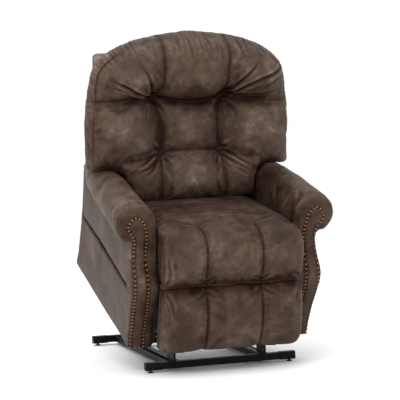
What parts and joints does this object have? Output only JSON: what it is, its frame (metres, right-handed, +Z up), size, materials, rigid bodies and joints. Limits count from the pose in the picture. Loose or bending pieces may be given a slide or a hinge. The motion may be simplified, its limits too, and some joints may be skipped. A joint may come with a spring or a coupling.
{
  "type": "lift recliner chair",
  "caption": "Powered lift recliner raised and tilted forward on a floor base, with rolled nail-trimmed arms, tufted back, channelled seat and a folding footrest.",
  "frame": {"origin": "centre of the bounding box of the raised chair, on the floor", "axes": "+Z up, the chair faces -Y, +X to the right of someone who looks at its front; the chair is mirror symmetric about X = 0 but for its motors and handset"},
  "size_m": [0.838, 1.0712, 1.2557],
  "materials": {
    "upholstery": "brushed faux leather, distressed, matte",
    "black_steel": "satin powder coat",
    "zinc": "zinc plated",
    "spring_steel": "oiled",
    "timber": "plywood",
    "black_plastic": "fine texture",
    "feet": "moulded",
    "keys": "soft touch",
    "antique_bronze": "antique bronze"
  },
  "bodies": {
    "base": {"base_front_tube": "black_steel", "base_rear_tube": "black_steel", "base_rail_left": "black_steel", "base_rail_right": "black_steel", "base_cross_tube": "black_steel", "base_end_caps": "black_steel", "floor_feet": "feet", "lift_upright_left": "black_steel", "lift_upright_right": "black_steel", "base_pivot_pins": "zinc"},
    "lift_arms": {"lift_arm_left": "black_steel", "lift_arm_right": "black_steel", "lift_torque_tube": "black_steel"},
    "stabilisers": {"stabiliser_links": "black_steel"},
    "lift_motor": {"lift_motor_unit": "black_plastic"},
    "lift_rod": {"lift_rod": "zinc"},
    "chair": {"chassis_plate_left": "black_steel", "chassis_plate_right": "black_steel", "chassis_front_tube": "black_steel", "chassis_rear_tube": "black_steel", "chassis_pivot_pins": "zinc", "arm_bolts": "zinc", "arm_frame_left": "timber", "arm_frame_right": "timber", "arm_inner_left": "upholstery", "arm_inner_right": "upholstery", "arm_side_left": "upholstery", "arm_side_right": "upholstery", "lower_side_left": "upholstery", "lower_side_right": "upholstery", "arm_roll_left": "upholstery", "arm_roll_right": "upholstery", "arm_front_left": "upholstery", "arm_front_right": "upholstery", "nailheads": "antique_bronze", "power_supply": "black_plastic", "handset_pocket": "upholstery", "handset": "black_plastic"},
    "button_up": {"button_up": "keys"},
    "button_down": {"button_down": "keys"},
    "seat": {"seat_frame_left": "black_steel", "seat_frame_right": "black_steel", "seat_rails": "timber", "seat_springs": "spring_steel", "seat_cushion": "upholstery", "footrest_gearmotor": "black_plastic"},
    "recline_motor": {"recline_motor_unit": "black_plastic"},
    "recline_rod": {"recline_rod": "zinc"},
    "back": {"back_frame": "timber", "back_hinges": "zinc", "back_cushion": "upholstery", "outside_back": "upholstery"},
    "footrest_crank": {"footrest_links": "black_steel", "footrest_shaft": "zinc"},
    "footrest_guide": {"footrest_guides": "black_steel"},
    "footrest_carrier": {"footrest_carriers": "black_steel"},
    "footrest_rod": {"footrest_tilt_rods": "zinc"},
    "footrest": {"footrest_board": "timber", "footrest_cushion": "upholstery"}
  },
  "joints": [
    {"name": "lift", "type": "hinge", "parent": "base", "child": "lift_arms", "pos_m": [0, -0.27076, 0.12], "axis": [1, 0, 0], "range_deg": [-32.12, 0]},
    {"name": "chair_tilt", "type": "hinge", "parent": "lift_arms", "child": "chair", "pos_m": [0, -0.09239, 0.23435], "axis": [1, 0, 0], "range_deg": [-0.2, 13.92]},
    {"name": "stabiliser_swing", "type": "hinge", "parent": "base", "child": "stabilisers", "pos_m": [0, -0.21475, 0.12], "axis": [1, 0, 0], "range_deg": [-25.37, 0.2]},
    {"name": "lift_motor_swing", "type": "hinge", "parent": "base", "child": "lift_motor", "pos_m": [0, 0.39111, 0.062], "axis": [1, 0, 0], "range_deg": [-0.2, 8.82]},
    {"name": "lift_screw", "type": "slide", "parent": "lift_motor", "child": "lift_rod", "axis": [0, -0.9118, 0.4105], "range_m": [-0.08775, 0.0005]},
    {"name": "recline", "type": "hinge", "parent": "seat", "child": "back", "pos_m": [0, 0.16234, 0.49825], "axis": [1, 0, 0], "range_deg": [-30, 0]},
    {"name": "seat_slide", "type": "slide", "parent": "chair", "child": "seat", "axis": [0, -0.9489, -0.3156], "range_m": [-0.0005, 0.0405]},
    {"name": "recline_motor_swing", "type": "hinge", "parent": "seat", "child": "recline_motor", "pos_m": [0, -0.16568, 0.35962], "axis": [1, 0, 0], "range_deg": [-0.2, 1.66]},
    {"name": "recline_screw", "type": "slide", "parent": "recline_motor", "child": "recline_rod", "axis": [0, 0.9916, 0.1295], "range_m": [-0.04922, 0.0005]},
    {"name": "footrest", "type": "hinge", "parent": "seat", "child": "footrest_crank", "pos_m": [0, -0.28932, 0.36697], "axis": [1, 0, 0], "range_deg": [-88, 0]},
    {"name": "footrest_guide_swing", "type": "hinge", "parent": "seat", "child": "footrest_guide", "pos_m": [0, -0.24347, 0.35588], "axis": [1, 0, 0], "range_deg": [-88.2, 0.2]},
    {"name": "footrest_carrier_swing", "type": "hinge", "parent": "footrest_crank", "child": "footrest_carrier", "pos_m": [0, -0.19419, 0.19104], "axis": [1, 0, 0], "range_deg": [-0.2, 88.2]},
    {"name": "footrest_rod_swing", "type": "hinge", "parent": "footrest_crank", "child": "footrest_rod", "pos_m": [0, -0.17517, 0.15586], "axis": [1, 0, 0], "range_deg": [-0.2, 88.2]},
    {"name": "footrest_tip", "type": "hinge", "parent": "footrest_carrier", "child": "footrest", "pos_m": [0, -0.3877, 0.30474], "axis": [1, 0, 0], "range_deg": [-88.2, 0.2]},
    {"name": "press_up", "type": "slide", "parent": "chair", "child": "button_up", "axis": [-0.9982, -0.019, 0.0571], "range_m": [0, 0.0015], "stiffness_N_per_m": 400, "springref_m": -0.0005},
    {"name": "press_down", "type": "slide", "parent": "chair", "child": "button_down", "axis": [-0.9982, -0.019, 0.0571], "range_m": [0, 0.0015], "stiffness_N_per_m": 400, "springref_m": -0.0005}
  ],
  "couplings": [
    {"joint": "chair_tilt", "follows": "lift", "ratio": -0.42721},
    {"joint": "stabiliser_swing", "follows": "lift", "ratio": 0.78348},
    {"joint": "lift_motor_swing", "follows": "lift", "ratio": -0.26831},
    {"joint": "lift_screw", "follows": "lift", "m_per_rad": 0.15563},
    {"joint": "seat_slide", "follows": "recline", "m_per_rad": -0.076394},
    {"joint": "recline_motor_swing", "follows": "recline", "ratio": -0.048739},
    {"joint": "recline_screw", "follows": "recline", "m_per_rad": 0.093051},
    {"joint": "footrest_guide_swing", "follows": "footrest", "ratio": 1},
    {"joint": "footrest_carrier_swing", "follows": "footrest", "ratio": -1},
    {"joint": "footrest_rod_swing", "follows": "footrest", "ratio": -1},
    {"joint": "footrest_tip", "follows": "footrest", "ratio": 1}
  ]
}
